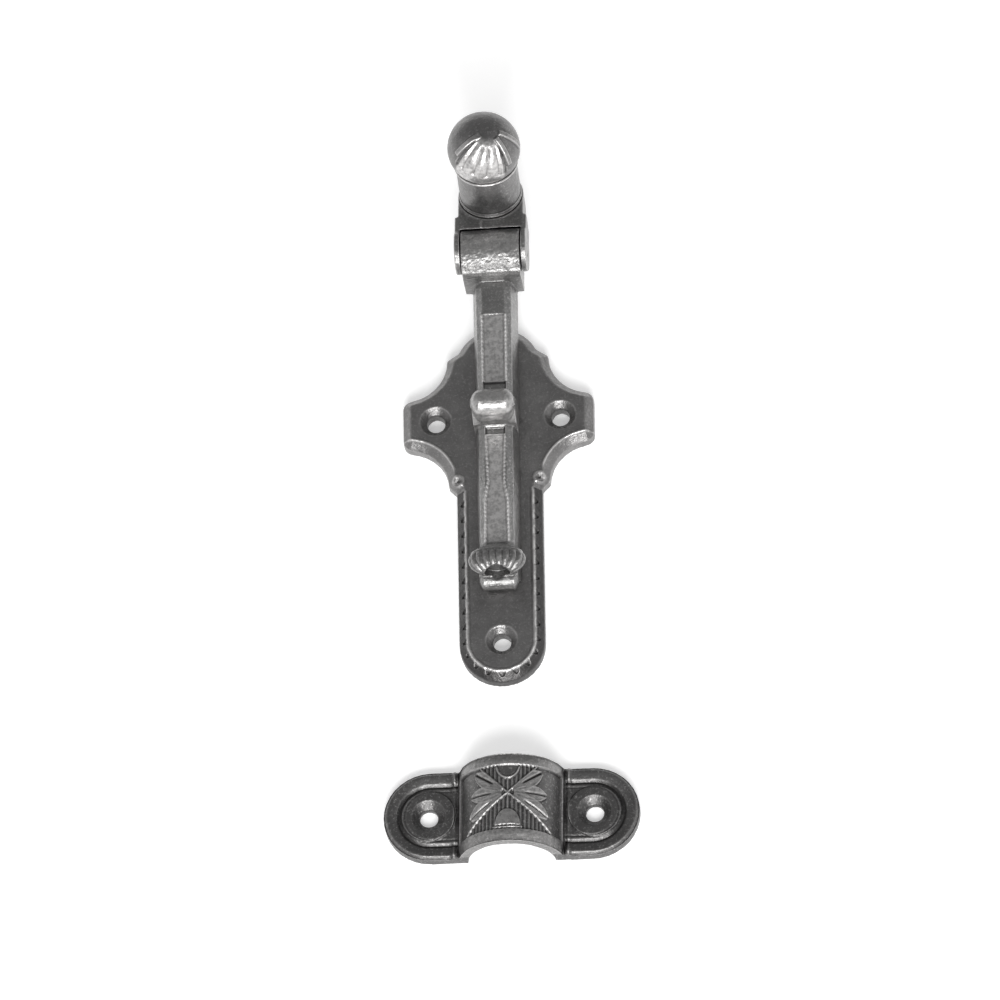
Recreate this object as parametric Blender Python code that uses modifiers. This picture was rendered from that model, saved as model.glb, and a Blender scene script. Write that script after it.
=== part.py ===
"""Toggle bolt latch: a surface bolt with a hinged knob arm, and its separate arched keeper.

Metres. The latch lies on its back: +Z is away from the door, +Y runs up the bolt to the knob,
+X is to the right. The origin is on the centreline of the backplate's back face, between the
lower screw and the guide slot. The bolt slides along -Y. The knob arm turns about an axis along X.
"""
import math

import bmesh
import bpy
from mathutils import Matrix, Vector

# Backplate: a round-ended bar of metal with a wing at each side.
PLATE_THICK = 0.0055
PLATE_RADIUS = 0.0120        # half the plate's width, and the radius of both ends
PLATE_LOW_Y = -0.0080        # centre of the lower round end, and of the lower screw
PLATE_TOP_Y = 0.0765         # centre of the upper round end
EDGE_WIDTH = 0.0023          # sloping edge round the front face
EDGE_DEPTH = 0.0025
WING_Y = 0.0600              # centre line of the wings, and of the wing screws
WING_REACH = 0.0267          # tip of a wing from the centreline
WING_SCREW_X = 0.0174
WING_CORNER = 0.0026
COVE_RADIUS = 0.0118         # hollow quarter rounds above and below each wing
COVE_X = 0.0260
COVE_RISE = 0.0194           # centre of a hollow round above or below WING_Y
COVE_END_DEG = 70.0          # where a hollow round stops short of the wing's tip
STEP_DROP = 0.0032           # slanted shoulder between hollow round and round end
STEP_TUCK = 0.0010           # how much of that shoulder the upper round end hides

# Screw holes for 4 mm countersunk wood screws.
SCREW_HOLE_RADIUS = 0.0025
PLATE_SINK_RADIUS = 0.0044
KEEPER_SINK_RADIUS = 0.0048
SINK_DEPTH = 0.0021

# Clearances.
GAP = 0.0003
SINK_IN = 0.0001             # keeps two joined shapes from sharing a face
TRAVEL = 0.0450              # throw of the bolt, along -Y

# Bolt bar: a deep bar with a narrow front strip, a thumb grip across it and a shell at its nose.
BAR_BACK = PLATE_THICK + GAP
BAR_FRONT = 0.0140
BAR_SHOULDER_Z = 0.0123      # where the sloping sides meet the chamfers
BAR_NOSE_Y = 0.0088
BAR_HALF_LOW = 0.0060        # half width at the back of the bar, at the nose
BAR_SHOULDER = 0.0047
BAR_STRIP = 0.0030           # half width of the front strip
BAR_WIDEN = 1.06             # the bar is this much wider at its head
GRIP_Y = 0.0577
GRIP_Z = 0.0206
GRIP_RADIUS = 0.0038
GRIP_HALF = 0.0062
SHELL_CENTRE = (0.0, 0.0120, 0.0148)
SHELL_SIZE = (0.0080, 0.0047, 0.0047)
NICHE_RADIUS = 0.0035
NICHE_END_Y = 0.0105
ROLL_RADIUS = 0.0029
ROLL_HALF = 0.0054
ROLL_Z = 0.0087

# Hinge between the bolt's head and the toggle arm.
HINGE_Y = 0.1064
HINGE_Z = 0.0158
HEAD_HALF = 0.0082
HEAD_FRONT = 0.0082          # front wall of the head, from the hinge axis
HEAD_ROUND = 0.0062          # knuckle radius
HEAD_BOTTOM = 0.0060         # clears the front of the plate
STOP_REACH = 0.0050          # heel that the arm leans back on
STOP_TOP = 0.0065            # top of that heel, below the hinge axis
PIN_RADIUS = 0.0020
EAR_OUTER = 0.0101
EAR_RADIUS = 0.0061
EAR_LENGTH = 0.0098

# Toggle arm, in its own frame: u along the arm from the hinge, w square to it.
ARM_LEAN_DEG = -16.0
ARM_HALF = 0.0092
ARM_NEAR = 0.0040            # before the hollow that clears the knuckle is cut
ARM_HOLLOW = 0.0066          # radius of that hollow, about the hinge
ARM_TOP = 0.0044
ARM_UNDER_NEAR = -0.0042
ARM_UNDER_FAR = -0.0010
STEM_U = 0.0172              # knob's axis from the hinge axis

# Knob: a round stem with a ball-shaped cap, and a tenon riveted through the arm.
STEM_RADIUS = 0.0087
STEM_TALL = 0.0142
CAP_RADIUS = 0.0102
TENON_RADIUS = 0.0025
TENON_LONG = 0.0062

# Guide rivets, their washers and the slot that they run in.
RIVET_YS = (0.0550, 0.0770)
RIVET_RADIUS = 0.0018
RIVET_TOP = 0.0095
RIVET_HEAD_RADIUS = 0.0032
RIVET_HEAD_Z = (0.0003, 0.0010)
WASHER_RADIUS = 0.0040
WASHER_Z = (0.0013, 0.0023)
SLOT_HALF = RIVET_RADIUS + GAP
RECESS_HALF = WASHER_RADIUS + SINK_IN + GAP
RECESS_DEPTH = WASHER_Z[1] + GAP

# Bow spring that holds the bolt by friction.
SPRING_Y = (0.0590, 0.0730)
SPRING_HALF = 0.0035
SPRING_THICK = 0.0004
SPRING_LOW = BAR_BACK + SINK_IN
SPRING_BOW = 0.0008
SPRING_POCKET = 0.0019

# Keeper: a strap with two round feet and an arch, fixed apart from the latch.
KEEPER_CENTRE = (0.0018, -0.0603)
KEEPER_TURN_DEG = -1.3
KEEPER_HALF_LENGTH = 0.0357
KEEPER_HALF_WIDTH = 0.01325
KEEPER_FOOT = 0.0032
KEEPER_SCREW_X = 0.0231
BOSS_RADIUS = 0.0075
BOSS_RISE = 0.0006
ARCH_OUTER = 0.0151
ARCH_INNER = 0.0121
ARCH_STEPS = 28

MARGIN = 0.0010              # how far a cutter passes the face that it cuts

for old in list(bpy.data.objects):
    bpy.data.objects.remove(old, do_unlink=True)

parts = bpy.data.collections.new("toggle_bolt_latch")
tools = bpy.data.collections.new("cutters")
bpy.context.scene.collection.children.link(parts)
bpy.context.scene.collection.children.link(tools)


def metal(name, colour, roughness):
    """A Principled metal."""
    material = bpy.data.materials.new(name)
    material.use_nodes = True
    shader = material.node_tree.nodes["Principled BSDF"]
    shader.inputs["Base Color"].default_value = (*colour, 1.0)
    shader.inputs["Roughness"].default_value = roughness
    shader.inputs["Metallic"].default_value = 0.9
    return material


def place(name, bm, material=None):
    """Put a bmesh in the scene: a part when it has a material, otherwise a tool for Booleans."""
    bmesh.ops.recalc_face_normals(bm, faces=bm.faces)
    mesh = bpy.data.meshes.new(name)
    bm.to_mesh(mesh)
    bm.free()
    mesh.shade_smooth()
    mesh.set_sharp_from_angle(angle=math.radians(35))
    item = bpy.data.objects.new(name, mesh)
    if material:
        mesh.materials.append(material)
        parts.objects.link(item)
    else:
        item.hide_render = True
        item.display_type = "WIRE"
        tools.objects.link(item)
    return item


def combine(item, other, operation):
    """Add a Boolean modifier."""
    change = item.modifiers.new(other.name, "BOOLEAN")
    change.operation = operation
    change.object = other
    change.solver = "EXACT"


def block(low, high):
    """A bmesh box between two corners."""
    bm = bmesh.new()
    low, high = Vector(low), Vector(high)
    size = Matrix.Diagonal((*(high - low), 1.0))
    bmesh.ops.create_cube(bm, size=1.0, matrix=Matrix.Translation((low + high) / 2) @ size)
    return bm


def rod(radius, low, high, along="Z", steps=24):
    """A bmesh cylinder between two end centres, which lie along one axis."""
    bm = bmesh.new()
    low, high = Vector(low), Vector(high)
    turn = {"Z": Matrix(), "X": Matrix.Rotation(math.pi / 2, 4, "Y"),
            "Y": Matrix.Rotation(math.pi / 2, 4, "X")}[along]
    bmesh.ops.create_cone(bm, cap_ends=True, segments=steps, radius1=radius, radius2=radius,
                          depth=(high - low).length,
                          matrix=Matrix.Translation((low + high) / 2) @ turn)
    return bm


def ball(centre, size):
    """A bmesh ellipsoid."""
    bm = bmesh.new()
    matrix = Matrix.Translation(centre) @ Matrix.Diagonal((*size, 1.0))
    bmesh.ops.create_uvsphere(bm, u_segments=24, v_segments=12, radius=1.0, matrix=matrix)
    return bm


def prism(outline, depth):
    """A bmesh prism: a flat outline of 3-D points pushed along the vector depth."""
    bm = bmesh.new()
    face = bm.faces.new([bm.verts.new(point) for point in outline])
    pushed = bmesh.ops.extrude_face_region(bm, geom=[face])
    moved = [item for item in pushed["geom"] if isinstance(item, bmesh.types.BMVert)]
    bmesh.ops.translate(bm, verts=moved, vec=depth)
    return bm


def arc(centre, radius, start_deg, end_deg, steps):
    """Points of a circular arc in a plane, both ends included."""
    angles = [math.radians(start_deg + (end_deg - start_deg) * i / steps) for i in range(steps + 1)]
    return [(centre[0] + radius * math.cos(a), centre[1] + radius * math.sin(a)) for a in angles]


def turned(name, profile, material=None, steps=32):
    """A turned shape: a profile of (radius, height) points, from the top of the axis down."""
    bm = bmesh.new()
    points = [bm.verts.new((r, 0.0, z)) for r, z in profile]
    for first, second in zip(points, points[1:]):
        bm.edges.new((first, second))
    item = place(name, bm, material)
    screw = item.modifiers.new("turn", "SCREW")
    screw.steps = screw.render_steps = steps
    screw.use_merge_vertices = True
    screw.merge_threshold = 0.00001
    screw.use_smooth_shade = True
    return item


def countersunk_hole(name, x, y, face_z, sink_radius):
    """A tool for a through hole with a countersink in the face at face_z."""
    top = face_z + MARGIN
    rim = sink_radius + MARGIN * (sink_radius - SCREW_HOLE_RADIUS) / SINK_DEPTH
    profile = [(0.0, top), (rim, top), (SCREW_HOLE_RADIUS, face_z - SINK_DEPTH),
               (SCREW_HOLE_RADIUS, -MARGIN), (0.0, -MARGIN)]
    tool = turned(name, profile)
    tool.location = (x, y, 0.0)
    return tool


def plate_half_outline():
    """Right half of the backplate's outline, from the bottom of its centreline to the top."""
    cove_x = COVE_X - COVE_RADIUS
    low_cove = (COVE_X, WING_Y - COVE_RISE)
    high_cove = (COVE_X, WING_Y + COVE_RISE)
    corner_x = WING_REACH - WING_CORNER
    corner_rise = COVE_RISE - COVE_RADIUS - WING_CORNER
    points = arc((0.0, PLATE_LOW_Y), PLATE_RADIUS, -90, 0, 14)
    shoulder = cove_x - PLATE_RADIUS
    points.append((PLATE_RADIUS, low_cove[1] - shoulder))
    points += arc(low_cove, COVE_RADIUS, 180, 180 - COVE_END_DEG, 10)
    points += arc((corner_x, WING_Y - corner_rise), WING_CORNER, -75, 0, 5)
    points += arc((corner_x, WING_Y + corner_rise), WING_CORNER, 0, 75, 5)
    points += arc(high_cove, COVE_RADIUS, 180 + COVE_END_DEG, 180, 10)
    meet_rise = high_cove[1] + STEP_DROP - STEP_TUCK - PLATE_TOP_Y
    meet_deg = math.degrees(math.asin(meet_rise / PLATE_RADIUS))
    points += arc((0.0, PLATE_TOP_Y), PLATE_RADIUS, meet_deg, 90, 10)
    return points


def make_backplate(material):
    """Backplate with sloping edge, guide slot, washer recess and three screw holes."""
    right = plate_half_outline()
    outline = right + [(-x, y) for x, y in reversed(right[1:-1])]
    base = PLATE_THICK - EDGE_DEPTH
    bm = prism([(x, y, 0.0) for x, y in outline], Vector((0.0, 0.0, base)))
    bmesh.ops.recalc_face_normals(bm, faces=bm.faces)
    front = [face for face in bm.faces if face.normal.z > 0.9]
    bmesh.ops.inset_region(bm, faces=front, thickness=EDGE_WIDTH, depth=0.0, use_even_offset=True)
    lifted = {vert for face in front for vert in face.verts}
    bmesh.ops.translate(bm, verts=list(lifted), vec=(0.0, 0.0, EDGE_DEPTH))
    plate = place("backplate", bm, material)
    low, high = RIVET_YS[0] - TRAVEL, RIVET_YS[1]
    for name, half, top in (("slot", SLOT_HALF, PLATE_THICK + MARGIN),
                            ("recess", RECESS_HALF, RECESS_DEPTH)):
        ends = arc((0.0, low), half, 180, 360, 12) + arc((0.0, high), half, 0, 180, 12)
        tool = prism([(x, y, -MARGIN) for x, y in ends], Vector((0.0, 0.0, top + MARGIN)))
        combine(plate, place("guide_" + name, tool), "DIFFERENCE")
    for name, x, y in (("low", 0.0, PLATE_LOW_Y), ("left", -WING_SCREW_X, WING_Y),
                       ("right", WING_SCREW_X, WING_Y)):
        hole = countersunk_hole("plate_hole_" + name, x, y, PLATE_THICK, PLATE_SINK_RADIUS)
        combine(plate, hole, "DIFFERENCE")


def make_bolt_bar(material):
    """Bolt bar with its thumb grip, shell nose and hinge head, all one casting."""
    half = [(BAR_HALF_LOW, BAR_BACK), (BAR_SHOULDER, BAR_SHOULDER_Z), (BAR_STRIP, BAR_FRONT)]
    section = half + [(-x, z) for x, z in reversed(half)]
    head_y = HINGE_Y - HEAD_FRONT + MARGIN
    bm = prism([(x, BAR_NOSE_Y, z) for x, z in section], Vector((0.0, head_y - BAR_NOSE_Y, 0.0)))
    for vert in bm.verts:
        if vert.co.y > HINGE_Y / 2:
            vert.co.x *= BAR_WIDEN
    bar = place("bolt_bar", bm, material)

    head = [(-HEAD_FRONT, HEAD_BOTTOM - HINGE_Z)]
    quarter = arc((0.0, 0.0), 1.0, 180, 90, 8)
    head += [(HEAD_FRONT * c, HEAD_ROUND * s) for c, s in quarter]
    head += arc((0.0, 0.0), HEAD_ROUND, 80, -75, 14)
    head += [(STOP_REACH, -STOP_TOP), (STOP_REACH, HEAD_BOTTOM - HINGE_Z)]
    sides = prism([(-HEAD_HALF, HINGE_Y + y, HINGE_Z + z) for y, z in head],
                  Vector((2 * HEAD_HALF, 0.0, 0.0)))
    combine(bar, place("hinge_head", sides), "UNION")
    grip = rod(GRIP_RADIUS, (-GRIP_HALF, GRIP_Y, GRIP_Z), (GRIP_HALF, GRIP_Y, GRIP_Z), "X")
    combine(bar, place("grip", grip), "UNION")
    inset = Vector((SINK_IN, SINK_IN, 0.0))
    stalk = block(Vector((-GRIP_HALF, GRIP_Y - GRIP_RADIUS, BAR_BACK + GAP)) + inset,
                  Vector((GRIP_HALF, GRIP_Y + GRIP_RADIUS, GRIP_Z)) - inset)
    combine(bar, place("grip_stalk", stalk), "UNION")
    combine(bar, place("shell", ball(SHELL_CENTRE, SHELL_SIZE)), "UNION")
    roll = rod(ROLL_RADIUS, (-ROLL_HALF, BAR_NOSE_Y, ROLL_Z), (ROLL_HALF, BAR_NOSE_Y, ROLL_Z), "X")
    combine(bar, place("nose_roll", roll), "UNION")
    niche = rod(NICHE_RADIUS, (0.0, -MARGIN, SHELL_CENTRE[2]),
                (0.0, NICHE_END_Y, SHELL_CENTRE[2]), "Y", 32)
    combine(bar, place("niche", niche), "DIFFERENCE")

    bore = PIN_RADIUS + GAP
    ends = [(x, HINGE_Y, HINGE_Z) for x in (-EAR_OUTER - MARGIN, EAR_OUTER + MARGIN)]
    combine(bar, place("head_bore", rod(bore, *ends, "X")), "DIFFERENCE")
    under = BAR_BACK - MARGIN
    for index, y in enumerate(RIVET_YS):
        hole = rod(RIVET_RADIUS + GAP, (0.0, y, under), (0.0, y, RIVET_TOP + GAP), steps=16)
        combine(bar, place(f"rivet_hole_{index}", hole), "DIFFERENCE")
    pocket = block((-SPRING_HALF - GAP, SPRING_Y[0] - GAP, under),
                   (SPRING_HALF + GAP, SPRING_Y[1] + GAP, BAR_BACK + SPRING_POCKET))
    combine(bar, place("spring_pocket", pocket), "DIFFERENCE")


def make_guides(steel):
    """Two guide rivets in the back of the bar, each with a washer behind the plate."""
    head_low, head_top = RIVET_HEAD_Z
    for place_name, y in zip(("lower", "upper"), RIVET_YS):
        profile = [(0.0, RIVET_TOP), (RIVET_RADIUS, RIVET_TOP), (RIVET_RADIUS, head_top),
                   (RIVET_HEAD_RADIUS, head_top), (RIVET_HEAD_RADIUS, head_low), (0.0, head_low)]
        rivet = turned(f"guide_rivet_{place_name}", profile, steel, 20)
        rivet.location.y = y
        washer_low, washer_top = WASHER_Z
        washer = place(f"guide_washer_{place_name}",
                       rod(WASHER_RADIUS, (0.0, y, washer_low), (0.0, y, washer_top)), steel)
        hole = rod(RIVET_RADIUS + GAP, (0.0, y, washer_low - MARGIN), (0.0, y, washer_top + MARGIN))
        combine(washer, place(f"washer_hole_{place_name}", hole), "DIFFERENCE")


def make_spring(steel):
    """Bow spring between bolt and plate: a curved strip, thickened by Solidify."""
    steps = 12
    low, high = SPRING_Y
    bm = bmesh.new()
    rows = []
    for i in range(steps + 1):
        t = i / steps
        y = low + (high - low) * t
        z = SPRING_LOW + SPRING_BOW * (2 * t - 1) ** 2
        rows.append([bm.verts.new((x, y, z)) for x in (-SPRING_HALF, SPRING_HALF)])
    for first, second in zip(rows, rows[1:]):
        bm.faces.new((first[0], first[1], second[1], second[0]))
    strip = place("friction_spring", bm, steel)
    thick = strip.modifiers.new("thickness", "SOLIDIFY")
    thick.thickness = SPRING_THICK
    thick.offset = 1.0


def make_hinge_pin(steel):
    """Plain pin through the head and both ears."""
    ends = [(x, HINGE_Y, HINGE_Z) for x in (-EAR_OUTER, EAR_OUTER)]
    place("hinge_pin", rod(PIN_RADIUS, *ends, "X"), steel)


def make_toggle(material, hinge):
    """Fork-ended arm on the hinge pin, with the knob riveted into its round end."""
    far = arc((0.0, STEM_U), ARM_HALF, 0, 180, 20)
    outline = [(-ARM_HALF, ARM_NEAR), (ARM_HALF, ARM_NEAR)] + far
    arm = place("toggle_arm", prism([(x, u, ARM_UNDER_NEAR) for x, u in outline],
                                    Vector((0.0, 0.0, ARM_TOP - ARM_UNDER_NEAR))), material)
    arm.parent = hinge
    tip = STEM_U + ARM_HALF
    slope = [(-EAR_OUTER, EAR_LENGTH, ARM_UNDER_NEAR), (-EAR_OUTER, tip + MARGIN, ARM_UNDER_FAR),
             (-EAR_OUTER, tip + MARGIN, ARM_UNDER_NEAR - MARGIN),
             (-EAR_OUTER, EAR_LENGTH, ARM_UNDER_NEAR - MARGIN)]
    wedge = place("under_slope", prism(slope, Vector((2 * EAR_OUTER, 0.0, 0.0))))
    inner = HEAD_HALF + GAP
    hollow = rod(ARM_HOLLOW, (-EAR_OUTER, 0.0, 0.0), (EAR_OUTER, 0.0, 0.0), "X", 48)
    joined = [(place("knuckle_hollow", hollow), "DIFFERENCE")]
    for side, sign in (("left", -1), ("right", 1)):
        xs = sorted((sign * inner, sign * EAR_OUTER))
        ear = rod(EAR_RADIUS, (xs[0], 0.0, 0.0), (xs[1], 0.0, 0.0), "X", 32)
        sink = Vector((SINK_IN / 5, 0.0, SINK_IN))
        strap = block(Vector((xs[0], 0.0, ARM_UNDER_NEAR)) + sink,
                      Vector((xs[1], EAR_LENGTH, ARM_TOP)) - sink)
        joined += [(place("ear_" + side, ear), "UNION"), (place("strap_" + side, strap), "UNION")]
    bore = rod(PIN_RADIUS + GAP, (-EAR_OUTER - MARGIN, 0, 0), (EAR_OUTER + MARGIN, 0, 0), "X")
    tenon_hole = rod(TENON_RADIUS + GAP, (0, STEM_U, ARM_UNDER_NEAR - MARGIN),
                     (0, STEM_U, ARM_TOP + MARGIN))
    joined += [(wedge, "DIFFERENCE"), (place("ear_bore", bore), "DIFFERENCE"),
               (place("tenon_hole", tenon_hole), "DIFFERENCE")]
    for tool, operation in joined:
        tool.parent = hinge
        combine(arm, tool, operation)

    cap_centre = STEM_TALL + math.sqrt(CAP_RADIUS ** 2 - STEM_RADIUS ** 2)
    seat_deg = -math.degrees(math.acos(STEM_RADIUS / CAP_RADIUS))
    profile = [(0.0, cap_centre + CAP_RADIUS)]
    profile += arc((0.0, cap_centre), CAP_RADIUS, 82, seat_deg, 13)
    profile += [(STEM_RADIUS, 0.0), (TENON_RADIUS, 0.0), (TENON_RADIUS, -TENON_LONG),
                (0.0, -TENON_LONG)]
    knob = turned("knob", profile, material)
    knob.location = (0.0, STEM_U, ARM_TOP + GAP)
    knob.parent = hinge


def make_keeper(material):
    """Keeper: feet and arch as one strap, cut to a round-ended plan, with a boss at each screw."""
    keeper_place = bpy.data.objects.new("keeper_place", None)
    parts.objects.link(keeper_place)
    keeper_place.location = (*KEEPER_CENTRE, 0.0)
    keeper_place.rotation_euler.z = math.radians(KEEPER_TURN_DEG)

    reach = KEEPER_HALF_LENGTH + MARGIN
    width = KEEPER_HALF_WIDTH + MARGIN
    foot_deg = math.degrees(math.asin(KEEPER_FOOT / ARCH_OUTER))
    strap = [(-reach, 0.0)] + arc((0.0, 0.0), ARCH_INNER, 180, 0, ARCH_STEPS)
    strap += [(reach, 0.0), (reach, KEEPER_FOOT)]
    strap += arc((0.0, 0.0), ARCH_OUTER, foot_deg, 180 - foot_deg, ARCH_STEPS)
    strap += [(-reach, KEEPER_FOOT)]
    keeper = place("keeper", prism([(x, -width, z) for x, z in strap],
                                   Vector((0.0, 2 * width, 0.0))), material)
    run = KEEPER_HALF_LENGTH - KEEPER_HALF_WIDTH
    plan = arc((run, 0.0), KEEPER_HALF_WIDTH, -90, 90, 18)
    plan += arc((-run, 0.0), KEEPER_HALF_WIDTH, 90, 270, 18)
    trim = place("keeper_plan", prism([(x, y, -MARGIN) for x, y in plan],
                                      Vector((0.0, 0.0, ARCH_OUTER + 2 * MARGIN))))
    changes = [(trim, "INTERSECT")]
    for side, x in (("left", -KEEPER_SCREW_X), ("right", KEEPER_SCREW_X)):
        top = KEEPER_FOOT + BOSS_RISE
        boss = rod(BOSS_RADIUS, (x, 0.0, KEEPER_FOOT / 2), (x, 0.0, top), steps=28)
        changes.append((place("boss_" + side, boss), "UNION"))
        changes.append((countersunk_hole("keeper_hole_" + side, x, 0.0, top, KEEPER_SINK_RADIUS),
                        "DIFFERENCE"))
    keeper.parent = keeper_place
    for tool, operation in changes:
        tool.parent = keeper_place
        combine(keeper, tool, operation)


iron = metal("cast_iron", (0.095, 0.092, 0.090), 0.42)
steel = metal("steel", (0.160, 0.155, 0.150), 0.35)
toggle_hinge = bpy.data.objects.new("toggle_hinge", None)
parts.objects.link(toggle_hinge)
toggle_hinge.location = (0.0, HINGE_Y, HINGE_Z)
toggle_hinge.rotation_euler.x = math.radians(ARM_LEAN_DEG)
make_backplate(iron)
make_bolt_bar(iron)
make_guides(steel)
make_spring(steel)
make_hinge_pin(steel)
make_toggle(iron, toggle_hinge)
make_keeper(iron)
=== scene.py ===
"""Looks of the toggle bolt latch: cast relief, worn iron finishes, light and camera.

Metres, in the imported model's frame: +Y runs up the bolt to the knob, +Z is away from the door.
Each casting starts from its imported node, is made dense and soft-edged, and is then given the
relief that a pattern maker would have carved, so it keeps the node's place and size.
"""
import logging
import math
from dataclasses import dataclass
from enum import Enum

import bmesh
import bpy
import numpy as np
from mathutils import Matrix, Vector, noise


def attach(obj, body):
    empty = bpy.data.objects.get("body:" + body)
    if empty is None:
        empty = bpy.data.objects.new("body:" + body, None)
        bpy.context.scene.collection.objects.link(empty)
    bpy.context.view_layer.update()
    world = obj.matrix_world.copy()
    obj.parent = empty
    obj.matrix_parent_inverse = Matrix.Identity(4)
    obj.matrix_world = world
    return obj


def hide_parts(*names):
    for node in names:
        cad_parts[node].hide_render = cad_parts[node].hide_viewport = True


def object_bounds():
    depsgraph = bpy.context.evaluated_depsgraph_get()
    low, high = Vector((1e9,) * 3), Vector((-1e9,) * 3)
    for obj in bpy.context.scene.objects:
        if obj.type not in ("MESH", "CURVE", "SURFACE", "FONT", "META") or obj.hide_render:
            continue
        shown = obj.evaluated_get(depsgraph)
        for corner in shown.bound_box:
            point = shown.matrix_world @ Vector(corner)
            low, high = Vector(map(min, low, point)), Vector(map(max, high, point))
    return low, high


MM = 0.001
RUB_AND_LIGHT = "rub_and_light"                 # vertex attribute: up to 1 for rubbed iron and painted highlights, down to -1 for painted shade and darkened spots
BEND = "bend"               # vertex attribute: above 0 on outer edges, below 0 in hollows
HINGE = (106.4 * MM, 15.8 * MM)     # the toggle's hinge axis, in Y and Z
LEAN = math.radians(-16.0)          # the toggle arm's angle at rest

logging.basicConfig(level=logging.INFO, format="%(message)s")
LOG = logging.getLogger("latch")

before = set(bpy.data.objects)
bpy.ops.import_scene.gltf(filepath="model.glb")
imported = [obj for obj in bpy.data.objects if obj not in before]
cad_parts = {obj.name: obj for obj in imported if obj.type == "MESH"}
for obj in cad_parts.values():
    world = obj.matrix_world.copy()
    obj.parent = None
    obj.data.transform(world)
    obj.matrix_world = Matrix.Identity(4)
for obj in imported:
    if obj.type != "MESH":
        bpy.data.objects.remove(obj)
CAD_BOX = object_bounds()


class Slot(Enum):
    """Material slot names listed for the made pieces; the build does not read them."""

    PLATE = "plate_iron"
    BOLT = "bolt_iron"
    KNOB = "knob_iron"
    KEEPER = "keeper_iron"
    PIN = "pin_steel"


class Body(Enum):
    """Moving bodies of the model."""

    PLATE = "latch_plate"
    BOLT = "bolt"
    TOGGLE = "toggle"
    KEEPER = "keeper"


def smoothstep(low: float, high: float, value: np.ndarray) -> np.ndarray:
    """Ease from 0 at low to 1 at high.

    Args:
        low: where the result leaves 0; above high for a falling step.
        high: where the result reaches 1.
        value: values to ease.

    Returns:
        The eased values.
    """
    t = np.clip((value - low) / (high - low), 0.0, 1.0)
    return t * t * (3.0 - 2.0 * t)


def ridge(distance: np.ndarray, width: float) -> np.ndarray:
    """Rounded ridge of height 1 and the given half width, from a distance to its crest."""
    return np.exp(-((distance / width) ** 2) * 2.0)


def rotate(x: np.ndarray, y: np.ndarray, angle: float) -> tuple[np.ndarray, np.ndarray]:
    """Turn plane coordinates anticlockwise by an angle in radians."""
    c, s = math.cos(angle), math.sin(angle)
    return x * c - y * s, x * s + y * c


def segment_distance(x: np.ndarray, y: np.ndarray, start: tuple[float, float],
                     end: tuple[float, float]) -> np.ndarray:
    """Distance of points to a straight segment.

    Args:
        x: first coordinates.
        y: second coordinates.
        start: one end of the segment.
        end: the other end.

    Returns:
        The distances.
    """
    run = np.array(end) - np.array(start)
    t = ((x - start[0]) * run[0] + (y - start[1]) * run[1]) / run.dot(run)
    t = np.clip(t, 0.0, 1.0)
    return np.hypot(x - start[0] - t * run[0], y - start[1] - t * run[1])


@dataclass(frozen=True)
class Grain:
    """One layer of noise: cells in a metre, octaves, and the strength of the finer octaves."""

    scale: float
    detail: float
    rough: float


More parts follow.
